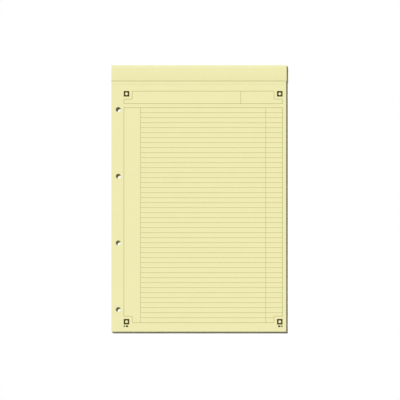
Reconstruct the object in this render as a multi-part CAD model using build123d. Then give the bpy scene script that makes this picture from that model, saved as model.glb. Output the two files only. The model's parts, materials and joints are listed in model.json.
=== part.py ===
from build123d import *

import math
import os

# A head-bound writing pad that lies face up: +X across the page, +Y to the bound head, +Z out of the page.
# The origin is the middle of the back, on the surface that the pad lies on. Lengths are in millimetres.

# Sheets: an A4 page below the perforation, and a stub that stays in the binding
PAGE_WIDTH = 210.0
PAGE_LENGTH = 297.0
STUB_LENGTH = 23.0
SHEET_COUNT = 80
SHEET_THICKNESS = 0.1

# Perforation across the sheets, a row of slits with uncut ties between them
SLIT_LENGTH = 1.4
SLIT_TIE = 0.6
SLIT_WIDTH = 0.1

# Punched holes for a ring binder, as many as the page's length takes, in a row just below its middle
HOLE_PITCH = 80.0
HOLE_DIAMETER = 6.0
HOLE_INSET = 8.5
HOLE_DROP = 2.0
HOLE_END_MARGIN = 12.0

# Back board
BOARD_THICKNESS = 1.5

# Binding strip, folded over the head and flush with the left side
STRIP_THICKNESS = 0.15
STRIP_FRONT = 19.0
STRIP_BACK = 19.0
STRIP_OVERHANG = 0.5
FRONT_FOLD_RADIUS = 2.0
BACK_FOLD_RADIUS = 0.5

# Staples of flat wire under the strip, clinched inwards at the back
STAPLE_COUNT = 2
STAPLE_PITCH = 105.0
STAPLE_CROWN = 12.0
STAPLE_CLINCH = 4.5
WIRE_WIDTH = 0.7
WIRE_THICKNESS = 0.5
WIRE_BEND_RADIUS = 0.4
WIRE_CLEARANCE = 0.02

# Printed lines, heavier round the boxes than within them, and their margins on the page
INK_THICKNESS = 0.05
OUTLINE_WIDTH = 0.4
RULE_WIDTH = 0.32
LEFT_MARGIN = 15.2
RIGHT_MARGIN = 4.6
HEADER_MARGIN = 8.4
FOOT_MARGIN = 10.0

# Printed header box below the perforation, with a divider near its right end
HEADER_HEIGHT = 15.0
HEADER_FIELD = 50.0

# Printed table below the header, with as many rows as leave the margin at the foot, and two side columns
TABLE_GAP = 4.8
ROW_PITCH = 6.0
LEFT_COLUMN = 20.0
RIGHT_COLUMN = 20.0

# Corners cut out of the printed boxes, and the marks that stand in them
NOTCH_WIDTH = 10.0
HEADER_NOTCH_HEIGHT = 9.6
TABLE_NOTCH_HEIGHT = 7.8
NOTCH_RADIUS = 1.2
MARK_SIZE = 6.7
MARK_EYE_DIAMETER = 3.4
MARK_DROP = 2.2
TICK_HEIGHT = 2.0
TICK_GAP = 1.1
LONG_TICK = 2.8
SHORT_TICK = 1.4

# One overrun for all cuts
OVERRUN = 1.0

# Places that follow from the sizes
SHEET_LENGTH = PAGE_LENGTH + STUB_LENGTH
LEFT = -PAGE_WIDTH / 2
RIGHT = PAGE_WIDTH / 2
FOOT = -SHEET_LENGTH / 2
HEAD = SHEET_LENGTH / 2
FRONT = BOARD_THICKNESS + SHEET_COUNT * SHEET_THICKNESS
PERFORATION = FOOT + PAGE_LENGTH
HOLE_MIDDLE = FOOT + PAGE_LENGTH / 2 - HOLE_DROP
HOLE_COUNT = math.floor((PAGE_LENGTH - HOLE_DROP * 2 - HOLE_END_MARGIN * 2) / HOLE_PITCH) + 1
PRINT_LEFT = LEFT + LEFT_MARGIN
PRINT_RIGHT = RIGHT - RIGHT_MARGIN
HEADER_HEAD = PERFORATION - HEADER_MARGIN
HEADER_FOOT = HEADER_HEAD - HEADER_HEIGHT
TABLE_HEAD = HEADER_FOOT - TABLE_GAP
ROW_COUNT = math.floor((TABLE_HEAD - FOOT - FOOT_MARGIN) / ROW_PITCH)
TABLE_FOOT = TABLE_HEAD - ROW_COUNT * ROW_PITCH


def slab(bottom, top):
    """A page-sized slab between two heights."""
    outline = Rectangle(PAGE_WIDTH, SHEET_LENGTH)
    return extrude(Pos(0, 0, bottom) * outline, top - bottom)


def head_edge(body, at_front):
    """The edge of a slab that runs along the head, at its front or its back face."""
    head_edges = body.edges().filter_by(Axis.X).group_by(Axis.Y)[-1]
    return head_edges.sort_by(Axis.Z)[-1 if at_front else 0]


def punched_holes():
    """Drills for the ring-binder holes, right through the pad."""
    centre = Pos(LEFT + HOLE_INSET, HOLE_MIDDLE, -OVERRUN)
    drills = centre * GridLocations(0, HOLE_PITCH, 1, HOLE_COUNT) * Circle(HOLE_DIAMETER / 2)
    return extrude(Sketch() + drills, FRONT + OVERRUN * 2)


def perforation():
    """Blades for the row of slits, through every sheet and down to the board."""
    pitch = SLIT_LENGTH + SLIT_TIE
    count = math.floor(PAGE_WIDTH / pitch)
    row = Pos(0, PERFORATION, BOARD_THICKNESS) * GridLocations(pitch, 0, count, 1)
    return extrude(Sketch() + row * Rectangle(SLIT_LENGTH, SLIT_WIDTH), FRONT - BOARD_THICKNESS + OVERRUN)


def staple_places():
    """One place for each staple, on the middle line of the strip's front."""
    return Pos(0, HEAD - STRIP_FRONT / 2) * GridLocations(STAPLE_PITCH, 0, STAPLE_COUNT, 1)


def folded_section(inner, outer):
    """The face between the two sides of a folded strip."""
    ends = [Line(inner @ end, outer @ end) for end in (0, 1)]
    return make_face(inner + outer + ends)


def wire_side(depth, end_clearance):
    """The line of one side of a staple's wire, at a depth below its outer side, from end to end."""
    leg = STAPLE_CROWN / 2 - depth
    end = STAPLE_CROWN / 2 - STAPLE_CLINCH - end_clearance
    crown_height = FRONT - depth
    clinch_height = STRIP_THICKNESS + depth
    return FilletPolyline(
        (-end, 0, clinch_height),
        (-leg, 0, clinch_height),
        (-leg, 0, crown_height),
        (leg, 0, crown_height),
        (leg, 0, clinch_height),
        (end, 0, clinch_height),
        radius=WIRE_BEND_RADIUS + WIRE_THICKNESS - depth,
    )


def bent_wire(clearance):
    """A staple, its crown level with the front and its ends at the back. A clearance makes room for one."""
    inner = wire_side(WIRE_THICKNESS + clearance, clearance)
    outer = wire_side(-clearance, clearance)
    half_width = WIRE_WIDTH / 2 + clearance
    return extrude(folded_section(inner, outer), half_width, both=True)


def sheet_block():
    """All the sheets as one block, its front head edge pressed round under the strip."""
    block = slab(BOARD_THICKNESS, FRONT)
    block = fillet(head_edge(block, at_front=True), FRONT_FOLD_RADIUS)
    block -= punched_holes()
    block -= perforation()
    for place in staple_places():
        block -= place * bent_wire(WIRE_CLEARANCE)
    return block


def backing_board():
    """The board, stepped at the back of its head so that the strip lies flush with it."""
    board = slab(0, BOARD_THICKNESS)
    rebate = Pos(0, HEAD - STRIP_BACK) * Rectangle(PAGE_WIDTH, STRIP_BACK, align=(Align.CENTER, Align.MIN))
    board -= extrude(rebate, STRIP_THICKNESS)
    board = fillet(head_edge(board, at_front=False), BACK_FOLD_RADIUS)
    board -= punched_holes()
    for place in staple_places():
        board -= place * bent_wire(WIRE_CLEARANCE)
    return board


def strip_side(offset):
    """The line of one side of the strip's paper, from its front edge over the head to its back edge."""
    return FilletPolyline(
        (0, HEAD - STRIP_FRONT, FRONT + offset),
        (0, HEAD + offset, FRONT + offset),
        (0, HEAD + offset, STRIP_THICKNESS - offset),
        (0, HEAD - STRIP_BACK, STRIP_THICKNESS - offset),
        radius=(FRONT_FOLD_RADIUS + offset, BACK_FOLD_RADIUS + offset),
    )


def binding_strip():
    """Paper of one thickness, folded round the head."""
    section = folded_section(strip_side(0), strip_side(STRIP_THICKNESS))
    return extrude(Pos(LEFT, 0) * section, PAGE_WIDTH + STRIP_OVERHANG, dir=(1, 0, 0))


def staples():
    """The staples, alike and apart."""
    return Part() + [place * bent_wire(0) for place in staple_places()]


def notched_box(outer_y, inner_y, notch_height):
    """The line round a printed box whose two corners at the outer end are cut out and rounded."""
    notch_y = outer_y + math.copysign(notch_height, inner_y - outer_y)
    notch_left = PRINT_LEFT + NOTCH_WIDTH
    notch_right = PRINT_RIGHT - NOTCH_WIDTH
    box = make_face(Polyline(
        (PRINT_LEFT, inner_y),
        (PRINT_RIGHT, inner_y),
        (PRINT_RIGHT, notch_y),
        (notch_right, notch_y),
        (notch_right, outer_y),
        (notch_left, outer_y),
        (notch_left, notch_y),
        (PRINT_LEFT, notch_y),
        close=True,
    ))
    columns = box.vertices().group_by(Axis.X)
    box = fillet(columns[1] + columns[2], NOTCH_RADIUS)
    outside = offset(box, OUTLINE_WIDTH / 2, kind=Kind.INTERSECTION)
    return outside - offset(box, -OUTLINE_WIDTH / 2, kind=Kind.INTERSECTION)


def rule(start, end, y):
    """A printed line across the page."""
    return Pos(start, y) * Rectangle(end - start, RULE_WIDTH, align=(Align.MIN, Align.CENTER))


def upright(x, start, end):
    """A printed line up the page."""
    return Pos(x, start) * Rectangle(RULE_WIDTH, end - start, align=(Align.CENTER, Align.MIN))


def table_lines():
    """The table's box, its two columns, and its rules, which stop at the cut-out corner on the right."""
    margin_line = PRINT_LEFT + LEFT_COLUMN
    lines = [
        upright(margin_line, TABLE_FOOT, TABLE_HEAD),
        upright(PRINT_RIGHT - RIGHT_COLUMN, TABLE_FOOT, TABLE_HEAD),
    ]
    for row in range(1, ROW_COUNT):
        height = row * ROW_PITCH
        end = PRINT_RIGHT - NOTCH_WIDTH if height < TABLE_NOTCH_HEIGHT else PRINT_RIGHT
        lines.append(rule(margin_line, end, TABLE_FOOT + height))
    return notched_box(TABLE_FOOT, TABLE_HEAD, TABLE_NOTCH_HEIGHT) + lines


def header_lines():
    """The header's box and its divider."""
    divider = upright(PRINT_RIGHT - HEADER_FIELD, HEADER_FOOT, HEADER_HEAD)
    return notched_box(HEADER_HEAD, HEADER_FOOT, HEADER_NOTCH_HEIGHT) + divider


def printed(shape):
    """A film of ink on the top sheet."""
    return extrude(Pos(0, 0, FRONT) * shape, INK_THICKNESS)


def corner_mark():
    """A dark square with a round eye."""
    return Rectangle(MARK_SIZE, MARK_SIZE) - Circle(MARK_EYE_DIAMETER / 2)


def ticks():
    """Two plain ticks side by side, measured from the outer side of the page inwards."""
    outer = Rectangle(SHORT_TICK, TICK_HEIGHT, align=(Align.MIN, Align.MAX))
    inner = Rectangle(LONG_TICK, TICK_HEIGHT, align=(Align.MIN, Align.MAX))
    return outer + Pos(SHORT_TICK + TICK_GAP) * inner


def corner_marks():
    """Four marks in the cut-out corners, level with the lines there, and ticks below the lower two."""
    edge = OUTLINE_WIDTH / 2
    left = PRINT_LEFT - edge
    right = PRINT_RIGHT + edge
    low = TABLE_FOOT - MARK_DROP
    high = HEADER_HEAD + edge
    half = MARK_SIZE / 2
    shapes = Sketch()
    for x in (left + half, right - half):
        for y in (low + half, high - half):
            shapes += Pos(x, y) * corner_mark()
    left_ticks = Pos(left, low - TICK_GAP) * ticks()
    shapes += left_ticks
    shapes += Pos(left + right) * mirror(left_ticks, about=Plane.YZ)
    return printed(shapes)


def printed_ruling():
    """The header's lines and the table's lines."""
    return printed(header_lines()) + printed(table_lines())


PIECES = {
    "sheet_block": sheet_block,
    "backing_board": backing_board,
    "binding_strip": binding_strip,
    "staples": staples,
    "printed_ruling": printed_ruling,
    "corner_marks": corner_marks,
}

os.makedirs("parts", exist_ok=True)
for name, make in PIECES.items():
    export_step(make(), os.path.join("parts", name + ".step"))
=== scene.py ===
import json
import math
import random
from functools import cached_property

import bmesh
import bpy
from mathutils import Color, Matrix, Vector, geometry, noise


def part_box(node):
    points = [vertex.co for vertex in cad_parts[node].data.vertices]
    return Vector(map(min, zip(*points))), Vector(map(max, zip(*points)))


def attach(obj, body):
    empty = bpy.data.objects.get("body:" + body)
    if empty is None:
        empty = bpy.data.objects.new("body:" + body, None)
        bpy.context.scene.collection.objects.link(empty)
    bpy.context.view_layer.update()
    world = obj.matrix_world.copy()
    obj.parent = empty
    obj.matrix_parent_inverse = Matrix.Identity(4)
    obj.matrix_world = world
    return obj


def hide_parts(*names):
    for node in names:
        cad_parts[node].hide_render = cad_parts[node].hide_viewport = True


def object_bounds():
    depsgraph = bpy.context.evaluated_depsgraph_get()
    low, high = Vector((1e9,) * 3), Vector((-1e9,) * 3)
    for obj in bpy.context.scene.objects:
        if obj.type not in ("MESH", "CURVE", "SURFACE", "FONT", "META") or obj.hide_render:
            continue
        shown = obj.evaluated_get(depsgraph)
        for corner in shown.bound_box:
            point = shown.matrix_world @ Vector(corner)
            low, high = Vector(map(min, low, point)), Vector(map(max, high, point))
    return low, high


# A head-bound writing pad seen from straight above. Lengths are in metres, in the part's own frame.
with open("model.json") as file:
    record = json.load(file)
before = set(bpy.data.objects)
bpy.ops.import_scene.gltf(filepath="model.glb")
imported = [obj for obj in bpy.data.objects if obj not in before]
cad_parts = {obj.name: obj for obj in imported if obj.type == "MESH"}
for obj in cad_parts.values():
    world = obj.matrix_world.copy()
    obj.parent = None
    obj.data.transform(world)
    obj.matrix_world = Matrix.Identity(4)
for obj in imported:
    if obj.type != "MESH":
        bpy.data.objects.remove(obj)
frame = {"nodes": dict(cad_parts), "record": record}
cad_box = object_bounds()

MM = 0.001
SEED = 7
random.seed(SEED)

# Places that the frame gives
BLOCK_LOW, BLOCK_HIGH = (Vector(corner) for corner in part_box("sheet_block"))
STRIP_LOW, STRIP_HIGH = (Vector(corner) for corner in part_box("binding_strip"))
STAPLES_LOW, STAPLES_HIGH = (Vector(corner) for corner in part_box("staples"))
BORES = [mount for mount in frame["record"]["mounts"] if mount["kind"] == "bore"]
FRONT = BLOCK_HIGH.z
HEAD = BLOCK_HIGH.y
LIP = STRIP_LOW.y

# Sheets, each with a cut edge of its own and a groove between it and the next, jogged together in batches
SHEET_THICKNESS = 0.1 * MM
SHEET_EDGE_ROUND = 0.015 * MM
SHEET_GROOVE = 0.06 * MM
SHEET_SHIFT = 0.035 * MM
SHEET_SHIFT_LIMIT = 3 * SHEET_SHIFT
BATCH_SHIFT = 0.1 * MM
BATCH_SHEETS = 7
SHEET_WAVE = 0.02 * MM
SHEET_WAVE_LENGTH = 30 * MM
HEAD_ROUND = 2 * MM
LONG_SIDE_STEPS = 20
SHORT_SIDE_STEPS = 14
HOLE_STEPS = 40
TOP_SHEET_RINGS = 3

# Filling of flat faces: inside their outline only, with nearer points taken as one
FILL_INSIDE = 1
FILL_TOLERANCE = 1e-6 * MM

# Perforation, along which a page tears off
PAGE_LENGTH = 297 * MM
SLIT_LENGTH = 1.4 * MM
SLIT_TIE = 0.6 * MM
SLIT_WIDTH = 0.1 * MM

# Binding strip, with the staples' crowns pressed through it
STRIP_THICKNESS = STRIP_HIGH.y - HEAD
BACK_ROUND = 0.5 * MM
STRIP_RIPPLE = 0.02 * MM
STRIP_RIPPLE_LENGTH = (12 * MM, 5 * MM, 5 * MM)
STRIP_EDGE_WAVE = 0.04 * MM
STRIP_WAVE_LENGTH = 17 * MM
STRIP_STEPS = 84
LEG_STEPS = 24
HEAD_STEPS = 8
FRONT_BEND_STEPS = 12
BACK_BEND_STEPS = 6
SMOOTH_DEG = 40
STAPLE_CROWN = 12 * MM
PRESS_HEIGHT = 0.05 * MM
PRESS_SPREAD = 0.8 * MM

# Directions in the strip's section, where outwards is away from the head
UPWARDS_DEG = 90
OUTWARDS_DEG = 0
DOWNWARDS_DEG = -90

# Noise: the middle of its range, and the spacing of the places where it is read for different edges
NOISE_MIDDLE = 0.5
NOISE_STEP = 5.7

# Colours, as written on screen
SCREEN_WHITE = 255
PAPER_COLOUR = (239, 234, 178)
# Painted shade, for the band under the strip's lip and for the lip's own edge
LIP_SHADE_COLOUR = (176, 162, 104)
STRIP_COLOUR = (239, 234, 177)
# Painted highlight along the strip's fold
FOLD_HIGHLIGHT_COLOUR = (241, 241, 190)
# Painted shade for the strip's front near its lip
STRIP_LOWER_SHADE_COLOUR = (235, 230, 174)
RULING_COLOUR = (156, 142, 68)
MARK_COLOUR = (58, 54, 14)
BOARD_COLOUR = (156, 149, 135)
STEEL_COLOUR = (186, 186, 190)

# Gloss at the surface, and roughness with its swing
PAPER_GLOSS = 0.2
INK_GLOSS = 0.1
BOARD_GLOSS = 0.3
STEEL_GLOSS = 0.5
PAPER_ROUGHNESS = 0.8
STRIP_ROUGHNESS = 0.72
INK_ROUGHNESS = 0.75
BOARD_ROUGHNESS = 0.88
STEEL_ROUGHNESS = 0.35
ROUGHNESS_SWING = 0.2

# Paper: fibres that lie along the grain, a cloudy formation, and cut edges of different brightness
FIBRE_SIZE = (0.35 * MM, 0.7 * MM, 0.35 * MM)
STRIP_FIBRE_SIZE = (1 * MM, 0.4 * MM, 0.4 * MM)
FIBRE_DETAIL = 6
FIBRE_SWING = 0.08
FIBRE_DEPTH = 0.03 * MM
CLOUD_SIZE = (14 * MM, 14 * MM, 14 * MM)
CLOUD_DETAIL = 3
CLOUD_SWING = 0.03
SHEET_SWING = 0.16
STREAK_SIZE = (70 * MM, 70 * MM, 0.7 * MM)
STREAK_DETAIL = 2
STREAK_SWING = 0.35
CUT_FACE = 0.3
FLAT_FACE = 0.7

# Painted light on the paper: painted shade under the strip's lip and along the lip's edge, a painted
# highlight along the strip's fold, and painted shade that darkens the strip towards its lip
LIP_SHADE_WIDTH = 1 * MM
LIP_EDGE_SHADE = (0.5 * MM, -0.6 * MM)
FOLD_HIGHLIGHT_REACH = (5 * MM, 0.5 * MM)
FOLD_HIGHLIGHT_DROP = (3 * MM, 1 * MM)
STRIP_SHADE_FADE = 6 * MM

# Ink, board and wire
INK_SIZE = (0.25 * MM, 0.25 * MM, 0.25 * MM)
INK_DETAIL = 5
INK_SWING = 0.35
PULP_SIZE = (0.6 * MM, 0.6 * MM, 0.6 * MM)
PULP_DETAIL = 6
PULP_SWING = 0.22
PULP_DEPTH = 0.06 * MM
BOARD_CLOUD_SIZE = (18 * MM, 18 * MM, 18 * MM)
BOARD_CLOUD_SWING = 0.12
DARK_FLECK_SIZE = (1.1 * MM, 1.8 * MM, 0.4 * MM)
DARK_FLECK_SHARE = (0.64, 0.72)
DARK_FLECK_SWING = -0.3
PALE_FLECK_SIZE = (1.1 * MM, 0.8 * MM, 0.3 * MM)
PALE_FLECK_SHARE = (0.66, 0.74)
PALE_FLECK_SWING = 0.25
FLECK_DETAIL = 2
DRAWN_SIZE = (2 * MM, 0.2 * MM, 0.2 * MM)
DRAWN_DETAIL = 4
DRAWN_SWING = 0.2

# Camera: the photograph is 400 pixels square at 1.2 mm to a pixel, and the pad lies a little off its centre
PHOTO_WIDTH = 480 * MM
CAMERA_HEIGHT = 5000 * MM
CAMERA_OFFSET = (1.55 * MM, -2 * MM)
CAMERA_REACH = 20 * CAMERA_HEIGHT
SENSOR_WIDTH = 36

# Light: a lamp high on the upper left, and a weak even sky over a white floor
SKY_SHARE = 0.13
SUN_SHARE = 1 - SKY_SHARE
SHADOW_SLOPE = (0.22, -0.265)
SUN_SIZE_DEG = 2.5
FLOOR_SIZE = 6000 * MM
FLOOR_BOUNCE = 0.8
WHITE = (1.0, 1.0, 1.0)


def linear(colour):
    """A screen colour as linear light."""
    return list(Color([value / SCREEN_WHITE for value in colour]).from_srgb_to_scene_linear())


def opaque(light):
    """Linear light as a colour for a socket."""
    return (*light, 1.0)


class Nodes:
    """A node tree that is being put together."""

    def __init__(self, tree):
        self.tree = tree

    def node(self, kind, **settings):
        """A new node with its settings."""
        made = self.tree.nodes.new(kind)
        for key, value in settings.items():
            setattr(made, key, value)
        return made

    def feed(self, socket, value):
        """Link a socket to another, or set it to a value."""
        if isinstance(value, bpy.types.NodeSocket):
            self.tree.links.new(value, socket)
        else:
            socket.default_value = value

    def math(self, operation, first, second=0.0):
        """The result of one sum on numbers."""
        made = self.node("ShaderNodeMath", operation=operation)
        self.feed(made.inputs[0], first)
        self.feed(made.inputs[1], second)
        return made.outputs[0]

    def vary(self, base, *parts):
        """A level, plus each source's swing about its middle."""
        level = base
        for source, swing in parts:
            away = self.math("SUBTRACT", source, NOISE_MIDDLE)
            level = self.math("ADD", level, self.math("MULTIPLY", away, swing))
        return level

    def seen(self):
        """One for a ray that shows the surroundings, straight or by gloss or glass, and zero for light."""
        rays = self.node("ShaderNodeLightPath").outputs
        clear = self.math("MAXIMUM", rays["Is Glossy Ray"], rays["Is Transmission Ray"])
        return self.math("MAXIMUM", rays["Is Camera Ray"], clear)


class Shader(Nodes):
    """A material that is being put together. Places and sizes in it are in metres, as the part's are."""

    def __init__(self, name, gloss):
        self.material = bpy.data.materials.new(name)
        self.material.use_nodes = True
        super().__init__(self.material.node_tree)
        self.surface = self.tree.nodes["Principled BSDF"]
        self.surface.inputs["Specular IOR Level"].default_value = gloss

    @cached_property
    def place(self):
        """Where a point of the surface is."""
        return self.node("ShaderNodeTexCoord").outputs["Object"]

    def vector(self, operation, first, second):
        """The result of one sum on places or colours."""
        made = self.node("ShaderNodeVectorMath", operation=operation)
        self.feed(made.inputs[0], first)
        self.feed(made.inputs["Scale" if operation == "SCALE" else 1], second)
        return made.outputs[0]

    def axes(self, vector):
        """A place or direction taken apart."""
        made = self.node("ShaderNodeSeparateXYZ")
        self.feed(made.inputs[0], vector)
        return made.outputs

    def noise(self, sizes, detail):
        """Noise of about one cycle to each size along its axis."""
        made = self.node("ShaderNodeTexNoise")
        self.feed(made.inputs["Vector"], self.vector("DIVIDE", self.place, sizes))
        made.inputs["Scale"].default_value = 1.0
        made.inputs["Detail"].default_value = detail
        return made.outputs["Fac"]

    def band(self, value, low, high):
        """How far a value has gone from low to high, as 0 to 1."""
        made = self.node("ShaderNodeMapRange", interpolation_type="SMOOTHSTEP")
        self.feed(made.inputs["Value"], value)
        made.inputs["From Min"].default_value = low
        made.inputs["From Max"].default_value = high
        return made.outputs["Result"]

    def mix(self, factor, first, second):
        """A colour between two others."""
        made = self.node("ShaderNodeMix", data_type="RGBA")
        colours = [socket for socket in made.inputs if socket.type == "RGBA"]
        self.feed(made.inputs[0], factor)
        self.feed(colours[0], first)
        self.feed(colours[1], second)
        return next(socket for socket in made.outputs if socket.type == "RGBA")

    def bump(self, height, depth):
        """Relief as deep as the real one."""
        made = self.node("ShaderNodeBump")
        made.inputs["Distance"].default_value = depth
        self.feed(made.inputs["Height"], height)
        self.feed(self.surface.inputs["Normal"], made.outputs[0])

    def finish(self, colour, roughness):
        """The material, with its colour and roughness."""
        self.feed(self.surface.inputs["Base Color"], colour)
        self.feed(self.surface.inputs["Roughness"], roughness)
        return self.material


def sheet_paper():
    """Uncoated paper: felted fibres, a faint cloudiness, and cut edges that differ from sheet to sheet."""
    shader = Shader("sheet_paper", PAPER_GLOSS)
    _, y, z = shader.axes(shader.place)
    fibre = shader.noise(FIBRE_SIZE, FIBRE_DETAIL)
    cloud = shader.noise(CLOUD_SIZE, CLOUD_DETAIL)
    tint = shader.node("ShaderNodeTexWhiteNoise", noise_dimensions="1D")
    shader.feed(tint.inputs["W"], shader.math("FLOOR", shader.math("DIVIDE", z, SHEET_THICKNESS)))
    facing = shader.axes(shader.node("ShaderNodeNewGeometry").outputs["Normal"])["Z"]
    cut = shader.band(facing, FLAT_FACE, CUT_FACE)
    streak = shader.noise(STREAK_SIZE, STREAK_DETAIL)
    level = shader.vary(1.0, (fibre, FIBRE_SWING), (cloud, CLOUD_SWING))
    level = shader.vary(level, (tint.outputs["Value"], shader.math("MULTIPLY", cut, SHEET_SWING)))
    level = shader.vary(level, (streak, shader.math("MULTIPLY", cut, STREAK_SWING)))
    # Painted shade: a darker band on the top sheet just under the strip's lip, in place of the lip's shadow
    front_face = shader.band(z, FRONT - SHEET_THICKNESS / 2, FRONT - SHEET_EDGE_ROUND)
    lip_shade = shader.math("MULTIPLY", shader.band(y, LIP - LIP_SHADE_WIDTH, LIP), front_face)
    tone = shader.mix(lip_shade, opaque(linear(PAPER_COLOUR)), opaque(linear(LIP_SHADE_COLOUR)))
    shader.bump(fibre, FIBRE_DEPTH)
    roughness = shader.vary(PAPER_ROUGHNESS, (fibre, ROUGHNESS_SWING))
    return shader.finish(shader.vector("SCALE", tone, level), roughness)


def strip_paper():
    """The strip's stouter paper, with a painted highlight along its fold and painted shade that darkens it
    towards its lip and along its lip edge.
    """
    shader = Shader("strip_paper", PAPER_GLOSS)
    _, y, z = shader.axes(shader.place)
    fibre = shader.noise(STRIP_FIBRE_SIZE, FIBRE_DETAIL)
    cloud = shader.noise(CLOUD_SIZE, CLOUD_DETAIL)
    level = shader.vary(1.0, (fibre, FIBRE_SWING), (cloud, CLOUD_SWING))
    head = STRIP_HIGH.y
    # Painted shade: the strip's front grows darker towards its lip
    rise = shader.band(y, LIP, head - STRIP_SHADE_FADE)
    tone = shader.mix(rise, opaque(linear(STRIP_LOWER_SHADE_COLOUR)), opaque(linear(STRIP_COLOUR)))
    # Painted highlight: paler where the strip bends over the head
    over = shader.band(y, head - FOLD_HIGHLIGHT_REACH[0], head - FOLD_HIGHLIGHT_REACH[1])
    down = shader.band(z, FRONT - FOLD_HIGHLIGHT_DROP[0], FRONT - FOLD_HIGHLIGHT_DROP[1])
    tone = shader.mix(shader.math("MULTIPLY", over, down), tone, opaque(linear(FOLD_HIGHLIGHT_COLOUR)))
    # Painted shade: the strip's last half millimetre at its lip is darker
    edge = shader.band(y, LIP + LIP_EDGE_SHADE[0], LIP + LIP_EDGE_SHADE[1])
    tone = shader.mix(edge, tone, opaque(linear(LIP_SHADE_COLOUR)))
    shader.bump(fibre, FIBRE_DEPTH)
    roughness = shader.vary(STRIP_ROUGHNESS, (fibre, ROUGHNESS_SWING))
    return shader.finish(shader.vector("SCALE", tone, level), roughness)


def ink(name, colour):
    """Matt printing ink that lies unevenly on the fibres."""
    shader = Shader(name, INK_GLOSS)
    fibre = shader.noise(INK_SIZE, INK_DETAIL)
    level = shader.vary(1.0, (fibre, INK_SWING))
    roughness = shader.vary(INK_ROUGHNESS, (fibre, ROUGHNESS_SWING))
    return shader.finish(shader.vector("SCALE", linear(colour), level), roughness)


def greyboard():
    """Board of mixed waste paper: pale and dark flecks in grey pulp, lying flat in its layers."""
    shader = Shader("greyboard", BOARD_GLOSS)
    pulp = shader.noise(PULP_SIZE, PULP_DETAIL)
    cloud = shader.noise(BOARD_CLOUD_SIZE, CLOUD_DETAIL)
    dark = shader.band(shader.noise(DARK_FLECK_SIZE, FLECK_DETAIL), *DARK_FLECK_SHARE)
    pale = shader.band(shader.noise(PALE_FLECK_SIZE, FLECK_DETAIL), *PALE_FLECK_SHARE)
    level = shader.vary(1.0, (pulp, PULP_SWING), (cloud, BOARD_CLOUD_SWING))
    level = shader.math("ADD", level, shader.math("MULTIPLY", dark, DARK_FLECK_SWING))
    level = shader.math("ADD", level, shader.math("MULTIPLY", pale, PALE_FLECK_SWING))
    shader.bump(pulp, PULP_DEPTH)
    roughness = shader.vary(BOARD_ROUGHNESS, (pulp, ROUGHNESS_SWING))
    return shader.finish(shader.vector("SCALE", linear(BOARD_COLOUR), level), roughness)


def staple_steel():
    """Bright drawn wire."""
    shader = Shader("staple_steel", STEEL_GLOSS)
    drawn = shader.noise(DRAWN_SIZE, DRAWN_DETAIL)
    shader.surface.inputs["Metallic"].default_value = 1.0
    level = shader.vary(1.0, (drawn, DRAWN_SWING))
    roughness = shader.vary(STEEL_ROUGHNESS, (drawn, ROUGHNESS_SWING))
    return shader.finish(shader.vector("SCALE", linear(STEEL_COLOUR), level), roughness)


def new_piece(name, points, faces, material, node):
    """A piece that stands for a node, on the pad's one body."""
    mesh = bpy.data.meshes.new(name)
    mesh.from_pydata(points, [], faces)
    mesh.materials.append(material)
    shape = bmesh.new()
    shape.from_mesh(mesh)
    bmesh.ops.recalc_face_normals(shape, faces=shape.faces)
    shape.to_mesh(mesh)
    shape.free()
    piece = bpy.data.objects.new(name, mesh)
    bpy.context.scene.collection.objects.link(piece)
    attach(piece, "root")
    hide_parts(node)
    return piece


def between(start, end, steps):
    """Even steps from start to end, without the end."""
    return [start + (end - start) * step / steps for step in range(steps)]


def waver(*place):
    """Smooth noise from 0 to 1."""
    return (1 + noise.noise(Vector(place))) / 2


def head_line(z):
    """Where the sheets' head is at a height, under the round of the strip's fold."""
    above = z - (FRONT - HEAD_ROUND)
    if above <= 0:
        return HEAD
    return HEAD - HEAD_ROUND + math.sqrt(max(HEAD_ROUND ** 2 - above ** 2, 0.0))


def sheet_outline(z, inset, sheet):
    """The points round a sheet, counter-clockwise from the left of the foot."""

    def back(place, side):
        """How far the cut edge wavers inwards at a place along a side."""
        return SHEET_WAVE * waver(place / SHEET_WAVE_LENGTH, sheet * NOISE_STEP, side * NOISE_STEP)

    low_x, high_x = BLOCK_LOW.x + inset, BLOCK_HIGH.x - inset
    low_y, high_y = BLOCK_LOW.y + inset, head_line(z)
    points = [(x, low_y + back(x, 0), z) for x in between(low_x, high_x, SHORT_SIDE_STEPS)]
    points += [(high_x - back(y, 1), y, z) for y in between(low_y, high_y, LONG_SIDE_STEPS)]
    points += [(x, high_y, z) for x in between(high_x, low_x, SHORT_SIDE_STEPS)]
    points += [(low_x + back(y, 2), y, z) for y in between(high_y, low_y, LONG_SIDE_STEPS)]
    return points


def hole_outline(bore, z, inset):
    """The points round a punched hole, counter-clockwise."""
    x, y = bore["pos_m"][:2]
    radius = bore["dims"]["r_mm"] * MM + inset
    turns = between(0.0, math.tau, HOLE_STEPS)
    return [(x + radius * math.cos(turn), y + radius * math.sin(turn), z) for turn in turns]


def cut_edges(z, inset, sheet):
    """The loops of points round a sheet and round its holes."""
    return [sheet_outline(z, inset, sheet)] + [hole_outline(bore, z, inset) for bore in BORES]


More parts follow.
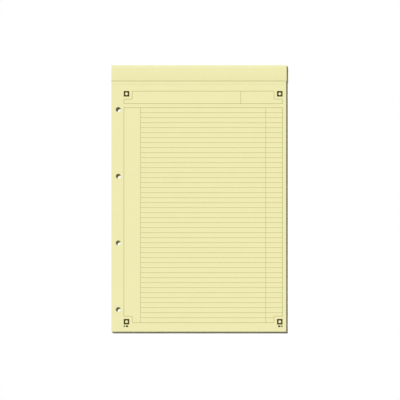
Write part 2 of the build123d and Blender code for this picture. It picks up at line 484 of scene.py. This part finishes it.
def sheet_levels():
    """Height, inset and sheet of each ring up the cut edges: a groove and two edges to a sheet."""
    count = round((FRONT - BLOCK_LOW.z) / SHEET_THICKNESS)
    batches = [BATCH_SHIFT * waver(sheet / BATCH_SHEETS, NOISE_STEP, 0.0) for sheet in range(count)]
    insets = [batch + min(abs(random.gauss(0.0, SHEET_SHIFT)), SHEET_SHIFT_LIMIT) for batch in batches]
    insets[-1] = 0.0
    levels = []
    for sheet, inset in enumerate(insets):
        low = BLOCK_LOW.z + sheet * SHEET_THICKNESS
        high = low + SHEET_THICKNESS
        levels.append((low, max(inset, insets[max(sheet - 1, 0)]) + SHEET_GROOVE, sheet))
        levels.append((low + SHEET_EDGE_ROUND, inset, sheet))
        levels.append((high - SHEET_EDGE_ROUND, inset, sheet))
    return levels + [(FRONT, insets[-1], count - 1)]


def slit_outlines():
    """The corners of each slit of the perforation, counter-clockwise."""
    pitch = SLIT_LENGTH + SLIT_TIE
    count = round((BLOCK_HIGH.x - BLOCK_LOW.x) / pitch)
    lefts = [BLOCK_LOW.x + SLIT_TIE / 2 + slit * pitch for slit in range(count)]
    low = BLOCK_LOW.y + PAGE_LENGTH - SLIT_WIDTH / 2
    high = low + SLIT_WIDTH
    return [[(x, low), (x + SLIT_LENGTH, low), (x + SLIT_LENGTH, high), (x, high)] for x in lefts]


def inside(point, loop):
    """Whether a point lies inside a convex loop that runs counter-clockwise."""
    for start, end in zip(loop, loop[1:] + loop[:1]):
        along = (end[0] - start[0], end[1] - start[1])
        away = (point[0] - start[0], point[1] - start[1])
        if along[0] * away[1] - along[1] * away[0] < 0:
            return False
    return True


def cap(loops):
    """Triangles that fill the first loop and leave the others open, as indices into all their points."""
    points = [Vector(point[:2]) for loop in loops for point in loop]
    edges = []
    for loop in loops:
        start = len(edges)
        edges += [(start + step, start + (step + 1) % len(loop)) for step in range(len(loop))]
    filling = geometry.delaunay_2d_cdt(points, edges, [], FILL_INSIDE, FILL_TOLERANCE)
    found, _, triangles, origins, _, _ = filling
    filled = []
    for triangle in triangles:
        middle = sum((found[corner] for corner in triangle), Vector((0.0, 0.0))) / len(triangle)
        if not any(inside(middle, loop) for loop in loops[1:]):
            filled.append([origins[corner][0] for corner in triangle])
    return filled


def wall(low, high, count):
    """Faces between two loops of points, given by the index of each one's first point."""
    pairs = [(step, (step + 1) % count) for step in range(count)]
    return [(low + this, low + after, high + after, high + this) for this, after in pairs]


def sheet_stack(name, levels, material):
    """Sheets as one closed shape, each with its own cut edge round the sides and in the punched holes."""
    points, faces = [], []
    for level in levels:
        loops = cut_edges(*level)
        points += [point for loop in loops for point in loop]
    ring = len(points) // len(levels)
    top = len(points) - ring
    for low in range(0, top, ring):
        for loop in loops:
            faces += wall(low, low + ring, len(loop))
            low += len(loop)
    slits = slit_outlines()
    low_slits = len(points)
    points += [(*corner, levels[0][0]) for slit in slits for corner in slit]
    high_slits = len(points)
    points += [(*corner, levels[-1][0]) for slit in slits for corner in slit]
    start = 0
    for slit in slits:
        faces += wall(low_slits + start, high_slits + start, len(slit))
        start += len(slit)
    for triangle in cap(loops + slits):
        faces.append([corner if corner < ring else low_slits + corner - ring for corner in triangle])
        faces.append([top + corner if corner < ring else high_slits + corner - ring for corner in triangle])
    new_piece(name, points, faces, material, "sheet_block")


def arc(centre, radius, start_deg, end_deg, steps):
    """Points along an arc in the plane of the strip's section."""
    turns = [math.radians(start_deg + (end_deg - start_deg) * step / steps) for step in range(steps + 1)]
    return [(centre[0] + radius * math.cos(t), centre[1] + radius * math.sin(t)) for t in turns]


def with_press_lines(places, low, high):
    """Places along the strip, with those added where a staple's edges press through."""
    return sorted(places + [low - PRESS_SPREAD, low, high, high + PRESS_SPREAD])


def strip_section(offset):
    """The strip's section on one side of its paper, from the front lip over the head to the back edge."""
    back = STRIP_LOW.z + STRIP_THICKNESS
    front_bend = (HEAD - HEAD_ROUND, FRONT - HEAD_ROUND)
    back_bend = (HEAD - BACK_ROUND, back + BACK_ROUND)
    front_leg = with_press_lines(between(LIP, front_bend[0], LEG_STEPS), STAPLES_LOW.y, STAPLES_HIGH.y)
    back_leg = with_press_lines(between(LIP, back_bend[0], LEG_STEPS), STAPLES_LOW.y, STAPLES_HIGH.y)
    points = [(y, FRONT + offset) for y in front_leg]
    points += arc(front_bend, HEAD_ROUND + offset, UPWARDS_DEG, OUTWARDS_DEG, FRONT_BEND_STEPS)
    points += [(HEAD + offset, z) for z in between(front_bend[1], back_bend[1], HEAD_STEPS)[1:]]
    points += arc(back_bend, BACK_ROUND + offset, OUTWARDS_DEG, DOWNWARDS_DEG, BACK_BEND_STEPS)
    points += [(y, back - offset) for y in reversed(back_leg)]
    return points


def press(x, y):
    """How far a staple presses the strip's paper out at a place, from 0 to 1."""
    half_wire = (STAPLES_HIGH.y - STAPLES_LOW.y) / 2
    half_crown = STAPLE_CROWN / 2
    beside = abs(y - STAPLES_LOW.y - half_wire) - half_wire
    beyond = abs(abs(x) - STAPLES_HIGH.x + half_crown) - half_crown
    return max(1 - math.hypot(max(beside, 0.0), max(beyond, 0.0)) / PRESS_SPREAD, 0.0)


def folded_strip():
    """The binding strip: a folded paper, faintly rippled, with slightly uneven cut edges."""
    inner, outer = strip_section(0.0), strip_section(STRIP_THICKNESS)
    count = len(inner)
    across = between(STRIP_LOW.x, STRIP_HIGH.x, STRIP_STEPS) + [STRIP_HIGH.x]
    across = with_press_lines(across, STAPLES_HIGH.x - STAPLE_CROWN, STAPLES_HIGH.x)
    across = with_press_lines(across, STAPLES_LOW.x, STAPLES_LOW.x + STAPLE_CROWN)
    points, faces = [], []
    for x in across:
        uneven = STRIP_EDGE_WAVE * waver(x / STRIP_WAVE_LENGTH, NOISE_STEP, 0.0)
        edge = [uneven if step in (0, count - 1) else 0.0 for step in range(count)]
        points += [(x, y + edge[step], z) for step, (y, z) in enumerate(inner)]
        for step, (y, z) in enumerate(outer):
            ripple = STRIP_RIPPLE * waver(*(at / size for at, size in zip((x, y, z), STRIP_RIPPLE_LENGTH)))
            share = (ripple + PRESS_HEIGHT * (1 - press(x, y))) / STRIP_THICKNESS
            in_y, in_z = inner[step]
            points.append((x, y + edge[step] + (in_y - y) * share, z + (in_z - z) * share))
    ring = 2 * count
    loop = list(range(count)) + list(range(ring - 1, count - 1, -1))
    last = (len(across) - 1) * ring
    for low in range(0, last, ring):
        for this, after in zip(loop, loop[1:] + loop[:1]):
            faces.append((low + this, low + after, low + after + ring, low + this + ring))
    for low in (0, last):
        for step in range(low, low + count - 1):
            faces.append((step, step + 1, step + 1 + count, step + count))
    piece = new_piece("folded_strip", points, faces, strip_paper(), "binding_strip")
    for face in piece.data.polygons:
        face.use_smooth = True
    piece.data.set_sharp_from_angle(angle=math.radians(SMOOTH_DEG))


def dress(node, material):
    """A finish for a solid whose shape is right as it is."""
    slots = frame["nodes"][node].data.materials
    slots.clear()
    slots.append(material)


def white_floor():
    """A white floor that keeps the pad's shadow, and throws back less light than it shows."""
    bpy.ops.mesh.primitive_plane_add(size=FLOOR_SIZE, location=(0.0, 0.0, cad_box[0].z))
    floor = bpy.context.object
    floor.name = "floor"
    shader = Shader("floor_white", 0.0)
    bounce = opaque(FLOOR_BOUNCE * Vector(WHITE))
    floor.data.materials.append(shader.finish(shader.mix(shader.seen(), bounce, opaque(WHITE)), 1.0))


def studio_sky():
    """A weak even light, seen as white."""
    world = bpy.data.worlds.new("studio")
    bpy.context.scene.world = world
    world.use_nodes = True
    nodes = Nodes(world.node_tree)
    background = nodes.tree.nodes["Background"]
    background.inputs["Color"].default_value = opaque(WHITE)
    extra = nodes.math("MULTIPLY", nodes.seen(), 1 - SKY_SHARE)
    nodes.feed(background.inputs["Strength"], nodes.math("ADD", extra, SKY_SHARE))


def lamp():
    """A lamp far off on the upper left, so that shadows fall to the right and down the page."""
    light = bpy.data.lights.new("lamp", "SUN")
    down = Vector((*SHADOW_SLOPE, -1.0)).normalized()
    light.energy = SUN_SHARE * math.pi / abs(down.z)
    light.angle = math.radians(SUN_SIZE_DEG)
    holder = bpy.data.objects.new("lamp", light)
    holder.rotation_mode = "QUATERNION"
    holder.rotation_quaternion = down.to_track_quat("-Z", "Y")
    bpy.context.scene.collection.objects.link(holder)


def camera():
    """A long lens that looks straight down, with the head of the pad at the top of the picture."""
    lens = bpy.data.cameras.new("camera")
    lens.sensor_width = SENSOR_WIDTH
    lens.lens = SENSOR_WIDTH * (CAMERA_HEIGHT - FRONT) / PHOTO_WIDTH
    lens.clip_end = CAMERA_REACH
    holder = bpy.data.objects.new("camera", lens)
    holder.location = (*CAMERA_OFFSET, CAMERA_HEIGHT)
    bpy.context.scene.collection.objects.link(holder)
    bpy.context.scene.camera = holder


# The top sheet is a piece of its own, and shares its lowest ring with the sheets below it
paper = sheet_paper()
levels = sheet_levels()
sheet_stack("page_block", levels[:-TOP_SHEET_RINGS], paper)
sheet_stack("top_page", levels[-TOP_SHEET_RINGS - 1:], paper)
folded_strip()
dress("backing_board", greyboard())
dress("staples", staple_steel())
dress("printed_ruling", ink("ruling_ink", RULING_COLOUR))
dress("corner_marks", ink("mark_ink", MARK_COLOUR))
white_floor()
studio_sky()
lamp()
camera()
bpy.context.scene.view_settings.view_transform = "Standard"
